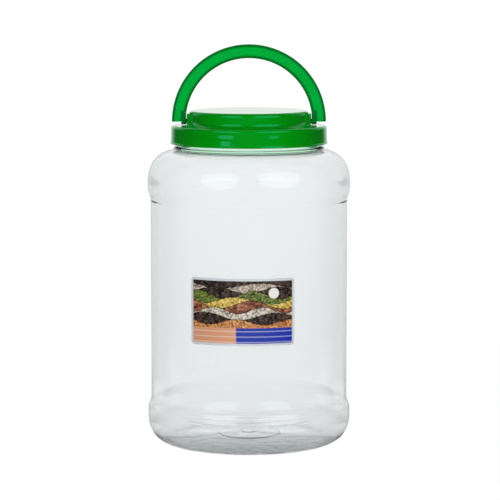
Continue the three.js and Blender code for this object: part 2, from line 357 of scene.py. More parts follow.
# A painted pool of light on the floor under the jar's back half, standing in for a caustic
PAINTED_CAUSTIC_LEVEL = 0.5
CAUSTIC_EDGES = (0.066, 0.052)
CAUSTIC_START = (0.012, 0.026)
# A faint painted cast shadow behind the jar, outside the half moon
PAINTED_CAST_CENTRE = (0, 0.15, 0)
PAINTED_CAST_EDGES = (0.11, 0.03)
PAINTED_CAST_DARKNESS = 0.02

# How finely round shapes are divided
JAR_SIDES = 192
LID_SIDES = 192
ARC_STEPS = 16
STEP_STEPS = 8
ROUND_STEPS = 5
FLAT_MARGIN = 0.12
ARCH_STEPS = 96
HANDLE_ROUND_STEPS = 6
PIN_SIDES = 48
LABEL_COLUMNS = 72
LABEL_ROWS = 24
SHARP_DEGREES = 35
JAR_SHARP_DEGREES = 60
SOFTEN_DEGREES = 30
OVERRUN = 1
SAME_SPOT = 1e-6

# Radii and heights that follow from the sizes above
PANEL_RADIUS = BAND_RADIUS - PANEL_INSET
FOOT_INNER = FOOT_RADIUS - FOOT_WIDTH
LOWER_STEP_Z = CORNER_HEIGHT + LOWER_BAND_HEIGHT
PANEL_LOW_Z = LOWER_STEP_Z + STEP_HEIGHT
PANEL_HIGH_Z = PANEL_LOW_Z + PANEL_HEIGHT
UPPER_BAND_Z = PANEL_HIGH_Z + STEP_HEIGHT
SHOULDER_Z = UPPER_BAND_Z + UPPER_BAND_HEIGHT
SHOULDER_END_RADIUS = NECK_RADIUS + SHOULDER_FLAT
SHOULDER_REACH = SHOULDER_END_RADIUS - BAND_RADIUS + SHOULDER_BLEND_RADIUS
SHOULDER_SPREAD = SHOULDER_REACH / math.cos(SHOULDER_BLEND_TURN)
SHOULDER_RADIUS = SHOULDER_BLEND_RADIUS - SHOULDER_SPREAD
SHOULDER_CENTRE_Z = SHOULDER_Z + SHOULDER_SPREAD * math.sin(SHOULDER_BLEND_TURN)
NECK_Z = SHOULDER_CENTRE_Z + SHOULDER_RADIUS
NECK_INNER = NECK_RADIUS - NECK_WALL
RIM_Z = jar_high.z
BEAD_RADIUS = NECK_RADIUS + BEAD_REACH
BEAD_LOW_Z = NECK_Z + BEAD_LIFT
BEAD_HIGH_Z = BEAD_LOW_Z + BEAD_HEIGHT
LEDGE_Z = lid_low.z + LEDGE_HEIGHT
LEDGE_LOW_Z = LEDGE_Z - LEDGE_WALL
SKIRT_Z = lid_low.z
CROWN_Z = lid_high.z
LID_INNER = NECK_RADIUS + THREAD_REACH + LID_GAP
LID_RADIUS = LID_INNER + LID_WALL
LIP_RADIUS = LID_RADIUS + LIP_REACH
CROWN_INNER = CROWN_RADIUS - CROWN_WALL
BOSS_RADIUS = CROWN_RADIUS + BOSS_REACH
NECK_THREAD_Z = BEAD_HIGH_Z + THREAD_LIFT + THREAD_ROOT_WIDTH / 2
LID_THREAD_Z = SKIRT_Z + LID_THREAD_LIFT + THREAD_ROOT_WIDTH / 2
LID_THREAD_RISE = LID_THREAD_Z + THREAD_PITCH / 2 - NECK_THREAD_Z
LID_THREAD_TURN = THREAD_START_TURN + FULL_TURN * LID_THREAD_RISE / THREAD_PITCH
PIVOT_Z = LEDGE_Z + FOLD_GAP + HANDLE_THICKNESS / 2
HANDLE_INNER = BOSS_RADIUS + HANDLE_GAP
HANDLE_RADIUS = HANDLE_INNER + HANDLE_WIDTH
ARCH_Z = PIVOT_Z - ARCH_DROP


def arc(centre_r, centre_z, radius_r, radius_z, from_turn, to_turn, steps):
    """Profile points of a round stretch, from one turn to another."""
    turns = [from_turn + (to_turn - from_turn) * i / steps for i in range(steps + 1)]
    return [(centre_r + radius_r * math.cos(t), centre_z + radius_z * math.sin(t)) for t in turns]


def distinct(points):
    """The points without those that lie on the one before them."""
    pairs = zip(points, points[1:])
    return points[:1] + [point for last, point in pairs if math.dist(point[:2], last[:2]) > SAME_SPOT]


def rounded(corners):
    """Profile points of a path whose corners (r, z, radius) are rounded."""
    corners = distinct(corners)
    points = [corners[0][:2]]
    for before, corner, after in zip(corners, corners[1:], corners[2:]):
        at = Vector(corner[:2])
        back = Vector(before[:2]) - at
        on = Vector(after[:2]) - at
        half = back.angle(on) / 2
        reach = min(corner[2] / math.tan(half), back.length / 2, on.length / 2)
        if reach < SAME_SPOT:
            points.append(corner[:2])
            continue
        start = at + back.normalized() * reach
        end = at + on.normalized() * reach
        centre = at + (back.normalized() + on.normalized()).normalized() * reach / math.cos(half)
        radius = reach * math.tan(half)
        if back.length / 2 > reach + FLAT_MARGIN:
            points.append(tuple(start + back.normalized() * FLAT_MARGIN))
        for i in range(ROUND_STEPS + 1):
            way = (start - centre).normalized().slerp((end - centre).normalized(), i / ROUND_STEPS)
            points.append(tuple(centre + way.normalized() * radius))
        if on.length / 2 > reach + FLAT_MARGIN:
            points.append(tuple(end + on.normalized() * FLAT_MARGIN))
    points.append(corners[-1][:2])
    return points


def ramp(edge_low, edge_high, value):
    """A smooth step from 0 at one edge to 1 at the other."""
    share = min(1, max(0, (value - edge_low) / (edge_high - edge_low)))
    return share * share * (3 - 2 * share)


def thread_swell(start_z, start_turn, turns, z, turn):
    """How far a thread of full height 1 stands out of its wall at a height and turn."""
    swell = 0
    winding = ((turn - start_turn) / FULL_TURN) % 1
    while winding <= turns:
        away = abs(z - start_z - THREAD_PITCH * winding)
        ridge = 1 - ramp(THREAD_CREST_WIDTH / 2, THREAD_ROOT_WIDTH / 2, away)
        run = ramp(0, THREAD_RUN_OUT_SHARE, min(winding, turns - winding))
        swell = max(swell, ridge * run)
        winding += 1
    return swell


def smooth(mesh, sharp_degrees=SHARP_DEGREES):
    """Makes a mesh smooth but for its sharp edges."""
    mesh.shade_smooth()
    mesh.set_sharp_from_angle(angle=math.radians(sharp_degrees))


def finish_mesh(name, bm, sharp_degrees=SHARP_DEGREES):
    """A shown object from a bmesh in millimetres, smooth but for its sharp edges."""
    bmesh.ops.remove_doubles(bm, verts=bm.verts, dist=SAME_SPOT)
    bmesh.ops.recalc_face_normals(bm, faces=bm.faces)
    bm.transform(Matrix.Scale(MM, 4))
    mesh = bpy.data.meshes.new(name)
    bm.to_mesh(mesh)
    bm.free()
    smooth(mesh, sharp_degrees)
    piece = bpy.data.objects.new(name, mesh)
    bpy.context.scene.collection.objects.link(piece)
    return piece


def lathe(points, sides, swell=None):
    """A bmesh turned about Z from (radius, height) points, closed on the axis or on itself."""
    profile = distinct(points)
    bm = bmesh.new()
    rings = []
    for r, z in profile:
        if r < SAME_SPOT:
            rings.append([bm.verts.new((0, 0, z))] * sides)
            continue
        ring = []
        for i in range(sides):
            turn = FULL_TURN * i / sides
            out = r + (swell(r, z, turn) if swell else 0)
            ring.append(bm.verts.new((out * math.cos(turn), out * math.sin(turn), z)))
        rings.append(ring)
    if profile[0][0] > SAME_SPOT:
        rings.append(rings[0])
    for low, high in zip(rings, rings[1:]):
        for i in range(sides):
            j = (i + 1) % sides
            corners = dict.fromkeys((low[i], low[j], high[j], high[i]))
            if len(corners) > 2:
                bm.faces.new(list(corners))
    return bm


def prism(outline, to_low, to_high):
    """A bmesh between two copies of an outline, which to_low and to_high put in place."""
    bm = bmesh.new()
    low = [bm.verts.new(to_low(p)) for p in outline]
    high = [bm.verts.new(to_high(p)) for p in outline]
    bm.faces.new(low)
    bm.faces.new(list(reversed(high)))
    for i in range(len(outline)):
        j = (i + 1) % len(outline)
        bm.faces.new((low[j], low[i], high[i], high[j]))
    return bm


def bar_along_x(from_x, to_x, from_radius, to_radius, z):
    """A round bar along X, with its own radius at each end."""
    turns = [FULL_TURN * i / PIN_SIDES for i in range(PIN_SIDES)]

    def ring(x, radius):
        return lambda turn: (x, radius * math.cos(turn), z + radius * math.sin(turn))

    return prism(turns, ring(from_x, from_radius), ring(to_x, to_radius))


def apply_modifiers(piece):
    """Gives the piece the mesh that its modifiers make, and takes them off."""
    graph = bpy.context.evaluated_depsgraph_get()
    mesh = bpy.data.meshes.new_from_object(piece.evaluated_get(graph))
    piece.modifiers.clear()
    old = piece.data
    piece.data = mesh
    bpy.data.meshes.remove(old)
    smooth(mesh)


def soften(piece, width):
    """Rounds the piece's sharp edges."""
    bevel = piece.modifiers.new("soften", "BEVEL")
    bevel.width = width * MM
    bevel.segments = ROUND_STEPS
    bevel.limit_method = "ANGLE"
    bevel.angle_limit = math.radians(SOFTEN_DEGREES)
    apply_modifiers(piece)


def combine(piece, others, operation):
    """Joins solids to the piece or cuts them from it, and deletes them."""
    for other in others:
        cut = piece.modifiers.new(operation.lower(), "BOOLEAN")
        cut.operation = operation
        cut.solver = "EXACT"
        cut.object = other
        bpy.context.view_layer.update()
        apply_modifiers(piece)
        bpy.data.objects.remove(other)


def bend(centre_r, centre_z, radius, from_turn, to_turn, steps=STEP_STEPS):
    """Profile points of one bend of the wall."""
    return arc(centre_r, centre_z, radius, radius, from_turn, to_turn, steps)


def wall_points(inset):
    """The body's wall from foot to shoulder, moved in from its outer face by an inset."""
    step_turn = 2 * math.atan(PANEL_INSET / STEP_HEIGHT)
    both = STEP_HEIGHT / math.sin(step_turn)
    low_fold = LOWER_FOLD_SHARE * both
    high_fold = UPPER_FOLD_SHARE * both
    low_band = both - low_fold
    high_band = both - high_fold
    blend = SHOULDER_BLEND_RADIUS - inset
    blend_r = BAND_RADIUS - SHOULDER_BLEND_RADIUS
    shoulder = SHOULDER_RADIUS - inset
    corner_r = BAND_RADIUS - FOOT_RADIUS - inset
    corner_z = CORNER_HEIGHT - inset
    folded = HALF_TURN - step_turn
    crease_rows = [CREASE_REACH * i / CREASE_ROWS for i in range(CREASE_ROWS + 1, 0, -1)]
    return (
        arc(FOOT_RADIUS, CORNER_HEIGHT, corner_r, corner_z, -QUARTER, 0, ARC_STEPS)
        + bend(BAND_RADIUS - low_band, LOWER_STEP_Z, low_band - inset, 0, step_turn)
        + bend(PANEL_RADIUS + low_fold, PANEL_LOW_Z, low_fold + inset, HALF_TURN + step_turn, HALF_TURN)
        + [(PANEL_RADIUS - inset, PANEL_HIGH_Z - down) for down in crease_rows]
        + bend(PANEL_RADIUS + high_fold, PANEL_HIGH_Z, high_fold + inset, HALF_TURN, folded)
        + bend(BAND_RADIUS - high_band, UPPER_BAND_Z, high_band - inset, -step_turn, 0)
        + bend(blend_r, SHOULDER_Z, blend, 0, SHOULDER_BLEND_TURN)
        + bend(SHOULDER_END_RADIUS, SHOULDER_CENTRE_Z, shoulder, SHOULDER_BLEND_TURN, QUARTER, ARC_STEPS)
    )


def push_up_points(lift, gate_reach):
    """The base inside the foot ring, from the axis outwards, raised by a lift."""
    step_z = BASE_RISE + lift
    crown_z = step_z + BASE_STEP_HEIGHT + BASE_CROWN_HEIGHT
    return rounded([
        (0, crown_z - gate_reach, 0),
        (GATE_RADIUS, crown_z - gate_reach, GATE_ROUND),
        (GATE_RADIUS, crown_z, GATE_ROUND),
        (BASE_STEP_RADIUS - BASE_STEP_WIDTH, step_z + BASE_STEP_HEIGHT, BASE_STEP_TOP_ROUND),
        (BASE_STEP_RADIUS, step_z, BASE_STEP_FOOT_ROUND),
        (FOOT_INNER, lift, FOOT_ROUND),
        (FOOT_RADIUS, lift, 0),
    ])


def wall_dent(r, z, turn):
    """How far the wall's faces are dented: the crease thins the wall, and the dip bends it in."""
    face = 1 if r > PANEL_RADIUS - BODY_WALL / 2 else -1
    front = -math.sin(turn)
    sides = 1 - (1 - CREASE_FRONT_DEPTH) * ramp(*CREASE_FRONT_SHARES, front)
    along = ramp(*CREASE_BACK_SHARES, front) * sides
    crease = CREASE_DEPTH * (1 - ramp(0, CREASE_REACH, abs(z - PANEL_HIGH_Z)))
    dip = DIP_DEPTH * (1 - ramp(0, DIP_REACH, abs(z - LOWER_STEP_Z - DIP_RISE)))
    return face * crease * along + dip * ramp(*DIP_FRONT_SHARES, front)


def jar_swell(r, z, turn):
    """The dents in the wall, and the neck's thread on its outer face alone."""
    if z < SHOULDER_Z:
        return -wall_dent(r, z, turn)
    if abs(r - NECK_RADIUS) > SAME_SPOT or z < BEAD_HIGH_Z:
        return 0
    return THREAD_REACH * thread_swell(NECK_THREAD_Z, THREAD_START_TURN, THREAD_TURNS, z, turn)


def jar_wall():
    """The clear shell in one closed mesh, inside and out."""
    bead_mid = (BEAD_LOW_Z + BEAD_HIGH_Z) / 2
    neck = rounded([
        (SHOULDER_END_RADIUS, NECK_Z, 0),
        (NECK_RADIUS, NECK_Z, NECK_ROUND),
        (NECK_RADIUS, BEAD_LOW_Z, BEAD_ROUND),
        (BEAD_RADIUS, bead_mid - BEAD_FACE / 2, BEAD_ROUND),
        (BEAD_RADIUS, bead_mid + BEAD_FACE / 2, BEAD_ROUND),
        (NECK_RADIUS, BEAD_HIGH_Z, BEAD_ROUND),
        (NECK_RADIUS, BEAD_HIGH_Z + THREAD_ROW, 0),
    ])
    rows = int((RIM_Z - RIM_ROUND - BEAD_HIGH_Z) / THREAD_ROW)
    threaded = [(NECK_RADIUS, BEAD_HIGH_Z + THREAD_ROW * i) for i in range(1, rows)]
    rim = rounded([
        threaded[-1] + (0,),
        (NECK_RADIUS, RIM_Z, RIM_ROUND),
        (NECK_INNER, RIM_Z, RIM_ROUND),
        (NECK_INNER, NECK_Z - BODY_WALL, NECK_ROUND),
        (SHOULDER_END_RADIUS, NECK_Z - BODY_WALL, 0),
    ])
    inner_wall = wall_points(BODY_WALL)
    inner_base = push_up_points(BASE_WALL, 0)[:-1] + [inner_wall[0]]
    profile = push_up_points(0, GATE_REACH) + wall_points(0) + neck + threaded + rim
    profile += inner_wall[::-1] + inner_base[::-1]
    wall = finish_mesh("jar_wall", lathe(profile, JAR_SIDES, jar_swell), JAR_SHARP_DEGREES)
    for face in wall.data.polygons:
        if face.center.z < PANEL_LOW_Z * MM:
            face.material_index = CLEAR_NAMES.index("clear_front" if face.center.y < 0 else "clear_base")
    return wall


def lid_swell(r, z, turn):
    """The lid's thread, on the skirt's inner face alone."""
    if abs(r - LID_INNER) > SAME_SPOT:
        return 0
    return -THREAD_REACH * thread_swell(LID_THREAD_Z, LID_THREAD_TURN, LID_THREAD_TURNS, z, turn)


def pivot_boss(side):
    """The thicker stretch of the crown's side that holds a pin."""
    half_turn = BOSS_WIDTH / (2 * BOSS_RADIUS)
    low_z = LEDGE_Z - LEDGE_WALL / 2
    high_z = LEDGE_Z + BOSS_HEIGHT
    sunk = CROWN_RADIUS - CROWN_WALL / 2
    outline = [(BOSS_RADIUS, half_turn * (2 * i / ARC_STEPS - 1)) for i in range(ARC_STEPS + 1)]
    outline += [(sunk, -turn) for _, turn in outline]

    def put(z):
        return lambda p: (side * p[0] * math.cos(p[1]), p[0] * math.sin(p[1]), z)

    boss = finish_mesh("pivot_boss", prism(outline, put(low_z), put(high_z)))
    soften(boss, BOSS_ROUND)
    return boss


def lid_shell():
    """The screw cap: skirt, ledge and crown, with thread, bosses and pin holes."""
    rows = int((LEDGE_LOW_Z - SKIRT_Z) / THREAD_ROW)
    threaded = [(LID_INNER, LEDGE_LOW_Z - THREAD_ROW * i) for i in range(1, rows)]
    inside = rounded([
        (0, CROWN_Z - CROWN_WALL, 0),
        (CROWN_INNER, CROWN_Z - CROWN_WALL, CROWN_INNER_ROUND),
        (CROWN_INNER, LEDGE_LOW_Z, CROWN_INNER_ROUND),
        (LID_INNER, LEDGE_LOW_Z, LIP_ROUND),
        (LID_INNER, LEDGE_LOW_Z - THREAD_ROW, 0),
    ])
    outside = rounded([
        threaded[-1] + (0,),
        (LID_INNER, SKIRT_Z, LIP_ROUND),
        (LIP_RADIUS, SKIRT_Z, LIP_ROUND),
        (LIP_RADIUS, SKIRT_Z + LIP_HEIGHT / 2, LIP_ROUND),
        (LID_RADIUS + SKIRT_LOW_SWELL, SKIRT_Z + SKIRT_LOW_HEIGHT, LIP_ROUND),
        (LID_RADIUS + SKIRT_MID_SWELL, SKIRT_Z + SKIRT_WAIST_HEIGHTS[0], SKIRT_ROUND),
        (LID_RADIUS + SKIRT_MID_SWELL, SKIRT_Z + SKIRT_WAIST_HEIGHTS[1], SKIRT_ROUND),
        (LID_RADIUS + SKIRT_TOP_SWELL, SKIRT_Z + SKIRT_TOP_HEIGHT, SKIRT_ROUND),
        (LID_RADIUS + SKIRT_TOP_SWELL, LEDGE_Z, LEDGE_ROUND),
        (CROWN_RADIUS, LEDGE_Z, CROWN_FOOT_ROUND),
        (CROWN_RADIUS, CROWN_Z, CROWN_ROUND),
        (0, CROWN_Z, 0),
    ])
    lid = finish_mesh("lid_shell", lathe(inside + threaded + outside, LID_SIDES, lid_swell))
    hole = PIN_RADIUS + PIN_GAP
    for side in (-1, 1):
        combine(lid, [pivot_boss(side)], "UNION")
        near = side * (CROWN_INNER - OVERRUN)
        far = side * (BOSS_RADIUS + OVERRUN)
        drill = bar_along_x(near, far, hole, hole, PIVOT_Z)
        combine(lid, [finish_mesh("drill", drill)], "DIFFERENCE")
    return lid


def sealing_disc():
    """The foam disc under the ledge."""
    radius = liner_high.x
    profile = rounded([
        (0, liner_low.z, 0),
        (radius, liner_low.z, LINER_ROUND),
        (radius, liner_high.z, LINER_ROUND),
        (0, liner_high.z, 0),
    ])
    return finish_mesh("sealing_disc", lathe(profile, LID_SIDES))


def handle_ear(side):
    """The ear that reaches down beside a boss, round at its lower end."""
    half = EAR_THICKNESS / 2
    centre_z = PIVOT_Z - EAR_REACH + half
    outline = [(half, PIVOT_Z + EAR_HEIGHT), (-half, PIVOT_Z + EAR_HEIGHT)]
    outline += arc(0, centre_z, half, half, HALF_TURN, FULL_TURN, ARC_STEPS)
    near = side * (BOSS_RADIUS + EAR_GAP)
    far = side * (HANDLE_INNER + EAR_WIDTH)
    ear = finish_mesh("ear", prism(outline, lambda p: (near, *p), lambda p: (far, *p)))
    soften(ear, EAR_ROUND)
    return ear


def ear_pockets(side):
    """The two pockets that leave a leg as thin as its ear."""
    deep = HANDLE_THICKNESS / 2 + OVERRUN
    low_z = PIVOT_Z - EAR_REACH
    high_z = PIVOT_Z + EAR_HEIGHT
    near = side * (HANDLE_INNER - OVERRUN)
    far = side * (HANDLE_INNER + EAR_WIDTH)
    pockets = []
    for face in (-1, 1):
        shallow_y = face * WEB_THICKNESS / 2
        deep_y = face * deep
        outline = [(shallow_y, low_z), (deep_y, low_z), (deep_y, high_z), (shallow_y, high_z)]
        pockets.append(finish_mesh("pocket", prism(outline, lambda p: (near, *p), lambda p: (far, *p))))
    return pockets


def handle_bail():
    """The half ring with rounded edges, its ears and its pins."""
    end = LEG_LIFT + ARCH_DROP
    side_y = HANDLE_THICKNESS / 2 - HANDLE_ROUND
    section = []
    for quarter in range(4):
        radius = HANDLE_RADIUS - HANDLE_ROUND if quarter in (0, 3) else HANDLE_INNER + HANDLE_ROUND
        y = side_y if quarter in (0, 1) else -side_y
        turn = quarter * QUARTER
        section += arc(radius, y, HANDLE_ROUND, HANDLE_ROUND, turn, turn + QUARTER, HANDLE_ROUND_STEPS)
    bm = bmesh.new()
    stations = []
    for i in range(ARCH_STEPS + 1):
        station = []
        for radius, y in section:
            start = math.asin(end / radius)
            turn = start + (HALF_TURN - 2 * start) * i / ARCH_STEPS
            station.append(bm.verts.new((radius * math.cos(turn), y, ARCH_Z + radius * math.sin(turn))))
        stations.append(station)
    for near, far in zip(stations, stations[1:]):
        for j in range(len(section)):
            k = (j + 1) % len(section)
            bm.faces.new((near[j], near[k], far[k], far[j]))
    bm.faces.new(stations[0])
    bm.faces.new(list(reversed(stations[-1])))
    bail = finish_mesh("handle_bail", bm)
    soften(bail, HANDLE_END_ROUND)
    for side in (-1, 1):
        combine(bail, ear_pockets(side), "DIFFERENCE")
        root = side * (HANDLE_INNER + EAR_WIDTH / 2)
        pin = bar_along_x(root, side * CROWN_INNER, PIN_RADIUS, PIN_TIP_RADIUS, PIVOT_Z)
        combine(bail, [handle_ear(side), finish_mesh("pin", pin)], "UNION")
    return bail


def label_sheet():
    """The thin printed sheet, bent round the panel, with its print's place in a UV map."""
    inner = PANEL_RADIUS + LABEL_GAP
    outer = inner + LABEL_THICKNESS
    height = label_high.z - label_low.z
    half = LABEL_WIDTH / 2
    corner = [LABEL_CORNER * (1 - math.cos(QUARTER * i / ARC_STEPS)) for i in range(ARC_STEPS)]
    middle = [LABEL_CORNER + (height - 2 * LABEL_CORNER) * i / LABEL_ROWS for i in range(LABEL_ROWS + 1)]
    heights = corner + middle + [height - v for v in reversed(corner)]
    bm = bmesh.new()
    uv = bm.loops.layers.uv.new("print")
    places = {}
    sheets = []
    for radius in (outer, inner):
        rows = []
        for v in heights:
            short = max(0, LABEL_CORNER - min(v, height - v))
            inset = LABEL_CORNER - math.sqrt(LABEL_CORNER ** 2 - short ** 2)
            row = []
            for i in range(LABEL_COLUMNS + 1):
                u = (half - inset) * (2 * i / LABEL_COLUMNS - 1)
                turn = LABEL_TURN + u / outer
                vert = bm.verts.new((radius * math.sin(turn), -radius * math.cos(turn), label_low.z + v))
                places[vert] = ((u + half) / LABEL_WIDTH, v / height)
                row.append(vert)
            rows.append(row)
        sheets.append(rows)
    for side, rows in enumerate(sheets):
        for low, high in zip(rows, rows[1:]):
            for i in range(LABEL_COLUMNS):
                face = bm.faces.new((low[i], low[i + 1], high[i + 1], high[i]))
                face.material_index = side
    front, back = sheets
    rims = [(front[0], back[0]), (front[-1], back[-1])]
    rims += [([row[i] for row in front], [row[i] for row in back]) for i in (0, -1)]
    for near, far in rims:
        for i in range(len(near) - 1):
            face = bm.faces.new((near[i], near[i + 1], far[i + 1], far[i]))
            face.material_index = BACK_SLOT
    for face in bm.faces:
        for loop in face.loops:
            loop[uv].uv = places[loop.vert]
    return finish_mesh("label_sheet", bm)


# A mix node's two sockets for colours
MIX_LOW = 6
MIX_HIGH = 7


class Nodes:
    """Short ways to add and link a material's nodes."""

    def __init__(self, tree):
        self.tree = tree
        tree.nodes.clear()

    def add(self, kind, *links, **values):
        """A node whose inputs take links in order, then named values."""
        node = self.tree.nodes.new(kind)
        for i, link in enumerate(links):
            self.put(node.inputs[i], link)
        for name, value in values.items():
            if hasattr(node, name):
                setattr(node, name, value)
            else:
                self.put(node.inputs[name.replace("_", " ")], value)
        return node

    def put(self, socket, value):
        """Links or sets a socket."""
        if isinstance(value, bpy.types.NodeSocket):
            self.tree.links.new(value, socket)
        elif isinstance(value, bpy.types.Node):
            self.tree.links.new(value.outputs[0], socket)
        else:
            socket.default_value = value

    def math(self, operation, *values):
        """The result of one operation on up to three values."""
        return self.add("ShaderNodeMath", *values, operation=operation).outputs[0]

    def fold(self, operation, first, *others):
        """The result of a two-way operation along a row of values."""
        for other in others:
            first = self.math(operation, first, other)
        return first

    def times(self, *values):
        """The product of a row of values."""
        return self.fold("MULTIPLY", *values)

    def most(self, *values):
        """The largest of a row of values."""
        return self.fold("MAXIMUM", *values)

    def less(self, value, other):
        """One value less another."""
        return self.math("SUBTRACT", value, other)

    def line(self, value, slope, start):
        """A value times a slope, from a start."""
        return self.math("MULTIPLY_ADD", value, slope, start)

    def mix(self, share, low, high):
        """A colour between two colours."""
        node = self.tree.nodes.new("ShaderNodeMix")
        node.data_type = "RGBA"
        self.put(node.inputs["Factor"], share)
        self.put(node.inputs[MIX_LOW], low)
        self.put(node.inputs[MIX_HIGH], high)
        return node.outputs[2]

    def span(self, value, low, high, low_result, high_result, kind="LINEAR"):
        """From one result at one edge to another at the other."""
        node = self.add("ShaderNodeMapRange", interpolation_type=kind)
        for i, number in enumerate((value, low, high, low_result, high_result)):
            self.put(node.inputs[i], number)
        return node.outputs[0]

    def step(self, value, low, high):
        """0 below one edge, 1 above the other, smooth between them."""
        return self.span(value, low, high, 0, 1, "SMOOTHSTEP")

    def between(self, value, low, high, fade):
        """1 between two edges, fading to 0 outside them."""
        rise = self.step(value, low - fade, low)
        fall = self.step(value, high + fade, high)
        return self.times(rise, fall)

    def place(self):
        """Where a point lies, in the object's own metres."""
        return self.add("ShaderNodeTexCoord").outputs["Object"]

    def axes(self, place):
        """A place's three coordinates."""
        return self.add("ShaderNodeSeparateXYZ", place).outputs

    def scaled(self, place, scale):
        """A place with each axis scaled."""
        return self.add("ShaderNodeVectorMath", place, scale, operation="MULTIPLY").outputs[0]

    def distance(self, place, centre):
        """How far a place lies from a centre."""
        return self.add("ShaderNodeVectorMath", place, centre, operation="DISTANCE").outputs["Value"]

    def noise(self, place, scale, detail):
        """Smooth noise at a place, about 0 to 1."""
        return self.add("ShaderNodeTexNoise", place, Scale=scale, Detail=detail).outputs[0]

    def bump(self, height, strength, relief):
        """A bump from heights, where 1 stands for a relief in millimetres."""
        values = {"Strength": strength, "Distance": relief * MM, "Height": height}
        return self.add("ShaderNodeBump", **values).outputs[0]

    def finish(self, shader):
        """Makes the shader the one that shows."""
        self.add("ShaderNodeOutputMaterial", shader)


def new_material(name):
    """A material and its nodes."""
    material = bpy.data.materials.new(name)
    material.use_nodes = True
    return material, Nodes(material.node_tree)


def plain_finish(name, make_values):
    """A material of one shader, whose values come from its nodes."""
    material, nodes = new_material(name)
    nodes.finish(nodes.add("ShaderNodeBsdfPrincipled", **make_values(nodes)))
    return material


def shaded(colour, share):
    """A colour at a share of its brightness."""
    return tuple(channel * share for channel in colour[:3]) + (1,)


def waves(nodes, place, stretch, detail, height, share=1):
    """Noise heights in millimetres, stretched by axis, on a share of the surface."""
    spread = nodes.add("ShaderNodeMapping", place, Scale=stretch)
    return nodes.times(nodes.noise(spread, 1, detail), height, share)


def clear_plastic(ior):
    """Glossy clear PET: a faintly uneven wall, a streaked step, a mottled base and painted green light
    from the lid on the bead.
    """
    def values(nodes):
        place = nodes.place()
        axes = nodes.axes(place)
        up = nodes.math("DIVIDE", axes[2], MM)
        uneven = waves(nodes, place, UNEVEN_STRETCH, UNEVEN_DETAIL, UNEVEN_HEIGHT)
        base_share = nodes.between(up, *MOTTLE_EDGES, MOTTLE_FADE)
        base_share = nodes.times(base_share, nodes.step(axes[1], *MOTTLE_FRONT))
        mottle = waves(nodes, place, MOTTLE_STRETCH, MOTTLE_DETAIL, MOTTLE_HEIGHT, base_share)
        wander = waves(nodes, place, WANDER_STRETCH, WANDER_DETAIL, STREAK_WANDER)
        along = nodes.less(up, (LOWER_STEP_Z + PANEL_LOW_Z) / 2 - STREAK_DROP)
        turn = nodes.less(nodes.line(along, FULL_TURN / STREAK_PITCH, wander), STREAK_WANDER / 2)
        step_share = nodes.between(up, LOWER_STEP_Z, PANEL_LOW_Z, STREAK_FADE)
        swing = nodes.times(step_share, nodes.step(axes[1], *STREAK_FRONT), -STREAK_HEIGHT)
        streaks = nodes.times(nodes.math("SINE", turn), swing)
        # Painted light: the bead takes a green tint from the lid above it
        painted_green_share = nodes.between(up, BEAD_LOW_Z, BEAD_HIGH_Z + PAINTED_GREEN_FADE, PAINTED_GREEN_FADE)
        return {
            "Base_Color": nodes.mix(painted_green_share, CLEAR_COLOUR, PAINTED_BEAD_GREEN),
            "Roughness": CLEAR_ROUGHNESS,
            "IOR": ior,
            "Transmission_Weight": 1,
            "Normal": nodes.bump(nodes.fold("ADD", uneven, mottle, streaks), 1, 1),
        }

    return values


def handle_painted_rim_shade(nodes, place):
    """Where shade is painted on the handle: 1 on its rounded rims and its ears, 0 on its flat face."""
    ear_side = HANDLE_INNER + EAR_WIDTH
    ear_top = PIVOT_Z + EAR_HEIGHT
    place_mm = nodes.scaled(place, (1 / MM, 1 / MM, 1 / MM))
    reach = nodes.distance(nodes.scaled(place_mm, (1, 0, 1)), (0, 0, ARCH_Z))
    flat = nodes.between(reach, HANDLE_INNER + RIM_WIDTH, HANDLE_RADIUS - RIM_WIDTH, RIM_FADE)
    axes = nodes.axes(place_mm)
    beside = nodes.step(nodes.math("ABSOLUTE", axes[0]), ear_side + RIM_FADE / 2, ear_side)
    below = nodes.step(axes[2], ear_top + RIM_FADE, ear_top)
    return nodes.most(nodes.less(1, flat), nodes.times(beside, below))


def green_plastic(name, deep_colour, colour, roughness, ior, coat=0, glow_share=0, rims=None):
    """Moulded green plastic with a faint grain, which may glow through and have painted shade at its
    rims.
    """
    material, nodes = new_material(name)
    place = nodes.place()
    cloud = nodes.noise(place, CLOUD_SCALE, CLOUD_DETAIL)
    tint = nodes.mix(nodes.step(cloud, *CLOUD_EDGES), deep_colour, colour)
    if rims:
        # Painted shade: the rims and ears take a darker copy of the deep colour
        tint = nodes.mix(rims(nodes, place), tint, shaded(deep_colour, PAINTED_RIM_SHADE))
    fine = nodes.noise(place, FINE_SCALE, FINE_DETAIL)
    bump = nodes.bump(nodes.noise(place, PORE_SCALE, PORE_DETAIL), PORE_STRENGTH, PORE_RELIEF)
    shader = nodes.add(
        "ShaderNodeBsdfPrincipled",
        Base_Color=tint,
        Roughness=nodes.line(fine, FINE_SWING, roughness - FINE_SWING / 2),
        IOR=ior,
        Specular_Tint=GREEN_GLOSS,
        Coat_Weight=coat,
        Coat_Roughness=COAT_ROUGHNESS,
        Coat_IOR=COAT_IOR,
        Normal=bump,
    )
    if glow_share:
        mixed = nodes.add("ShaderNodeMixShader", glow_share)
        nodes.put(mixed.inputs[1], shader)
        nodes.put(mixed.inputs[2], nodes.add("ShaderNodeBsdfTranslucent", tint, Normal=bump))
        shader = mixed
    nodes.finish(shader)
    return material


def foam(nodes):
    """White closed-cell foam."""
    cells = nodes.add("ShaderNodeTexVoronoi", nodes.place(), Scale=FOAM_SCALE).outputs[0]
    return {
        "Base_Color": nodes.mix(cells, *FOAM_COLOURS),
        "Roughness": FOAM_ROUGHNESS,
        "Normal": nodes.bump(cells, FOAM_STRENGTH, FOAM_RELIEF),
    }


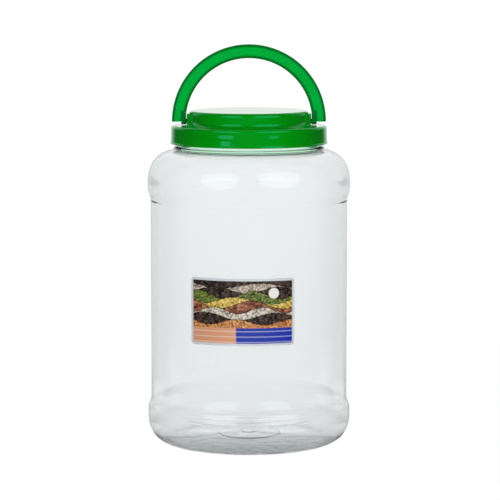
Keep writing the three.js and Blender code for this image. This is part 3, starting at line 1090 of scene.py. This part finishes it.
def grains(nodes, place, size, stretch, dark, light):
    """Rounded grains of a size in millimetres, each of its own shade, over dark gaps."""
    spread = nodes.add("ShaderNodeMapping", place, Scale=stretch)
    cells = nodes.add("ShaderNodeTexVoronoi", spread, Scale=1 / size)
    shade = nodes.add("ShaderNodeSeparateColor", cells.outputs["Color"])
    tint = nodes.mix(shade.outputs[0], dark, light)
    gap = nodes.step(cells.outputs["Distance"], GRAIN_EDGE_SHARE, 1)
    return nodes.mix(gap, tint, shaded(dark, GAP_SHADE))


def hill_line(nodes, across, height, swing, length, start):
    """The height of a wavy line, in millimetres, at places across the print."""
    wave = nodes.math("SINE", nodes.line(across, FULL_TURN / length, start))
    return nodes.line(wave, swing, height)


def label_print(nodes):
    """A printed film: rolling bands of mottled colours over a strip of two, in a pale border."""
    print_map = nodes.add("ShaderNodeUVMap", uv_map="print").outputs[0]
    height = label_high.z - label_low.z
    place = nodes.scaled(print_map, (LABEL_WIDTH, height, 1))
    axes = nodes.axes(place)
    across, up = axes[0], axes[1]
    wobble = nodes.noise(place, WOBBLE_SCALE, WOBBLE_DETAIL)
    up_rough = nodes.line(wobble, 2 * HILL_ROUGHNESS, nodes.less(up, HILL_ROUGHNESS))

    picture = grains(nodes, place, SKY_GRAIN, (1, 1, 1), *DARK_BROWNS)
    for line, size, stretch, shades in HILLS:
        edge = nodes.less(hill_line(nodes, across, *line), up_rough)
        picture = nodes.mix(nodes.step(edge, 0, HILL_RIM), picture, HILL_RIM_COLOUR)
        body = nodes.step(edge, HILL_RIM, 2 * HILL_RIM)
        picture = nodes.mix(body, picture, grains(nodes, place, size, stretch, *shades))
    sun = nodes.step(nodes.distance(place, SUN_PLACE), SUN_RADIUS, SUN_RADIUS - HILL_RIM)
    picture = nodes.mix(sun, picture, SUN_COLOUR)

    strip = nodes.mix(nodes.step(across, STRIP_SPLIT, STRIP_SPLIT + STRIP_FADE), STRIP_TAN, STRIP_BLUE)
    rule_wave = nodes.math("PINGPONG", nodes.math("ADD", up, RULE_PITCH / 2 - PRINT_MARGIN), RULE_PITCH)
    rule = nodes.step(rule_wave, RULE_PITCH - RULE_WIDTH, RULE_PITCH)
    strip = nodes.mix(nodes.times(rule, RULE_SHARE), strip, RULE_COLOUR)
    art = nodes.mix(nodes.step(up, STRIP_HEIGHT, STRIP_HEIGHT + STRIP_FADE), strip, picture)

    squares = []
    for length, size in ((across, LABEL_WIDTH), (up, height)):
        away = nodes.math("ABSOLUTE", nodes.less(length, size / 2))
        over = nodes.most(nodes.less(away, size / 2 - PRINT_MARGIN - PRINT_CORNER), 0)
        squares.append(nodes.math("POWER", over, 2))
    corner = nodes.math("SQRT", nodes.math("ADD", *squares))
    outside = nodes.step(corner, PRINT_CORNER - PRINT_FADE, PRINT_CORNER + PRINT_FADE)
    haze = nodes.noise(place, HAZE_SCALE, HAZE_DETAIL)
    return {
        "Base_Color": nodes.mix(outside, art, nodes.mix(haze, *BORDER_COLOURS)),
        "Roughness": nodes.line(haze, FILM_SWING, FILM_ROUGHNESS),
        "Normal": nodes.bump(haze, FILM_STRENGTH, FILM_RELIEF),
    }


def film_back(nodes):
    """The white back of the label, faintly fibrous."""
    fibre = nodes.noise(nodes.place(), FIBRE_SCALE, FIBRE_DETAIL)
    return {"Base_Color": nodes.mix(fibre, *BACK_COLOURS), "Roughness": BACK_ROUGHNESS}


def dress(piece, materials, node, body):
    """Gives a piece its finishes and its body, and hides the CAD node that it stands for."""
    for material in materials:
        piece.data.materials.append(material)
    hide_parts(node)
    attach(piece, body)


clears = [plain_finish(name, clear_plastic(ior)) for name, ior in CLEAR_IORS.items()]
films = [plain_finish("label_film", label_print), plain_finish("label_back", film_back)]
lid_green = green_plastic("lid_green", *LID_GREENS, LID_ROUGHNESS, LID_IOR, coat=1)
# The handle's rims and ears get painted shade
handle_look = {"glow_share": HANDLE_GLOW_SHARE, "rims": handle_painted_rim_shade}
handle_green = green_plastic("handle_green", *HANDLE_GREENS, HANDLE_ROUGHNESS, HANDLE_IOR, **handle_look)
dress(jar_wall(), clears, "jar_body", "jar")
dress(label_sheet(), films, "label", "jar")
dress(sealing_disc(), [plain_finish("white_foam", foam)], "lid_liner", "seal")
dress(lid_shell(), [lid_green], "lid_cap", "lid")
dress(handle_bail(), [handle_green], "carry_handle", "handle")


def make_camera():
    """A long lens, a little above the lid, that looks down at the jar."""
    data = bpy.data.cameras.new("camera")
    data.sensor_width = SENSOR_WIDTH
    data.lens = SENSOR_WIDTH * FOCAL_PIXELS / PHOTO_PIXELS
    camera = bpy.data.objects.new("camera", data)
    camera.location = Vector(CAMERA_PLACE) * MM
    camera.rotation_euler = (QUARTER - CAMERA_PITCH, 0, 0)
    bpy.context.scene.collection.objects.link(camera)
    bpy.context.scene.camera = camera


def make_softbox(name, radiance, azimuth, elevation, wide, tall):
    """An oval lamp that faces the jar's middle, of an even radiance."""
    data = bpy.data.lights.new(name, "AREA")
    data.shape = "ELLIPSE"
    data.size = 2 * SOFTBOX_DISTANCE * MM * math.tan(math.radians(wide / 2))
    data.size_y = 2 * SOFTBOX_DISTANCE * MM * math.tan(math.radians(tall / 2))
    data.energy = radiance * math.pi * data.size * data.size_y
    lamp = bpy.data.objects.new(name, data)
    turn = math.radians(azimuth)
    lift = math.radians(elevation)
    way = Vector((math.sin(turn) * math.cos(lift), -math.cos(turn) * math.cos(lift), math.sin(lift)))
    middle = Vector((0, 0, RIM_Z / 2))
    lamp.location = (middle + way * SOFTBOX_DISTANCE) * MM
    lamp.rotation_mode = "QUATERNION"
    lamp.rotation_quaternion = way.to_track_quat("Z", "Y")
    lamp.visible_camera = False
    bpy.context.scene.collection.objects.link(lamp)
    return lamp


def seen_straight(nodes):
    """1 where a ray has come here with no reflection on its way, else 0."""
    ray = nodes.add("ShaderNodeLightPath")
    turns = nodes.math("ADD", ray.outputs["Glossy Depth"], ray.outputs["Diffuse Depth"])
    return nodes.math("LESS_THAN", turns, 1)


def back_level(nodes, back, side_share):
    """How bright the studio is in gloss, from how far a way points to the back, 0 to 1."""
    beside = nodes.times(nodes.step(back, *SIDE_EDGES), side_share, SIDE_LEVEL)
    sides = nodes.most(beside, FRONT_LEVEL)
    behind = nodes.step(back, *BACK_EDGES)
    return nodes.line(behind, nodes.less(BACK_LEVEL, sides), sides)


def make_world():
    """White behind the jar and dark in front of it for gloss; white wherever the camera looks."""
    world = bpy.data.worlds.new("studio")
    world.use_nodes = True
    bpy.context.scene.world = world
    nodes = Nodes(world.node_tree)
    way = nodes.axes(nodes.add("ShaderNodeTexCoord").outputs["Generated"])
    level = back_level(nodes, way[1], nodes.step(way[2], *SIDE_RISE))
    level = nodes.most(level, nodes.times(seen_straight(nodes), FAR_LEVEL))
    background = nodes.add("ShaderNodeBackground", (1, 1, 1, 1), level)
    nodes.add("ShaderNodeOutputWorld", background)


def painted_gloss_level(nodes, depth, reach):
    """Painted gloss of the floor: painted light beside the jar and at its foot, painted shade under its
    back.
    """
    back = nodes.math("DIVIDE", depth, reach)
    level = back_level(nodes, back, nodes.step(reach, *SIDE_REACH))
    near = nodes.times(nodes.step(reach, *NEAR_START), nodes.step(reach, *NEAR_END))
    near = nodes.times(near, nodes.step(back, *NEAR_BACK))
    near = nodes.times(near, nodes.most(nodes.step(reach, *NEAR_ROUND), nodes.step(back, *NEAR_BEHIND)))
    foot = nodes.times(nodes.step(reach, *FOOT_RISE), nodes.step(reach, *FOOT_FALL))
    level = nodes.most(level, nodes.times(near, PAINTED_NEAR_LIGHT), nodes.times(foot, PAINTED_FOOT_LIGHT))
    under = nodes.times(nodes.step(reach, *UNDER_REACH), nodes.step(depth, *UNDER_EDGES))
    return nodes.times(level, nodes.less(1, under))


def painted_floor_shade(nodes, place, axes):
    """Painted shade on the floor for the jar's shadow: a half moon under its front, a faint patch
    behind.
    """
    across, depth = axes[0], axes[1]
    inside = nodes.step(nodes.distance(place, SHADE_CENTRE), SHADE_RADIUS + SHADE_FADE, SHADE_RADIUS)
    front = nodes.step(depth, SHADE_BACK + SHADE_FADE, SHADE_BACK)
    deepness = nodes.span(depth, SHADE_BACK, -SHADE_RADIUS, SHADE_BACK_DARKNESS, SHADE_FRONT_DARKNESS)
    sides = nodes.line(nodes.step(nodes.math("ABSOLUTE", across), *SHADE_SIDES), SHADE_SIDE_SHARE - 1, 1)
    half_moon = nodes.times(nodes.times(inside, front), nodes.times(deepness, sides))
    patch = nodes.times(nodes.step(nodes.distance(place, PAINTED_CAST_CENTRE), *PAINTED_CAST_EDGES), PAINTED_CAST_DARKNESS)
    return nodes.most(half_moon, nodes.times(patch, nodes.less(1, inside)))


def make_floor():
    """A pale floor that glows as a lit table does, with the jar's shade, caustic and gloss light painted
    on.
    """
    mesh = bpy.data.meshes.new("floor")
    signs = ((-1, -1), (1, -1), (1, 1), (-1, 1))
    mesh.from_pydata([(x * FLOOR_REACH, y * FLOOR_REACH, 0) for x, y in signs], [], [(0, 1, 2, 3)])
    floor = bpy.data.objects.new("floor", mesh)
    bpy.context.scene.collection.objects.link(floor)
    material, nodes = new_material("pale_floor")
    place = nodes.place()
    axes = nodes.axes(place)
    depth = axes[1]
    reach = nodes.add("ShaderNodeVectorMath", place, operation="LENGTH").outputs["Value"]
    # Painted shade: the jar's shadow, drawn on the floor by place
    shade = painted_floor_shade(nodes, place, axes)
    open_level = nodes.line(nodes.step(depth, 0, FLOOR_RISE_REACH), FAR_LEVEL - 1, 1)
    # Painted light: a bright patch under the jar's back half
    painted_caustic = nodes.times(nodes.step(depth, *CAUSTIC_START), nodes.step(reach, *CAUSTIC_EDGES))
    direct = nodes.line(painted_caustic, PAINTED_CAUSTIC_LEVEL, nodes.times(open_level, nodes.less(1, shade)))
    # Painted light and shade that the floor shows in gloss
    turned = painted_gloss_level(nodes, depth, reach)
    level = nodes.line(seen_straight(nodes), nodes.less(direct, turned), turned)
    # The painted shade dims and tints the floor's glow
    glow = nodes.add("ShaderNodeEmission", nodes.mix(shade, (1, 1, 1, 1), PAINTED_SHADE_COLOUR), level)
    diffuse = nodes.add("ShaderNodeBsdfDiffuse", FLOOR_COLOUR)
    nodes.finish(nodes.add("ShaderNodeAddShader", diffuse, glow))
    mesh.materials.append(material)
    floor.visible_diffuse = False


make_camera()
make_softbox("softbox_left", SOFTBOX_RADIANCE, **LEFT_BOX)
make_softbox("softbox_right", SOFTBOX_RADIANCE, **RIGHT_BOX)
fill = make_softbox("fill", FILL_RADIANCE, **FILL)
fill.visible_glossy = False
fill.visible_transmission = False
make_world()
make_floor()
bpy.context.scene.view_settings.view_transform = "Standard"
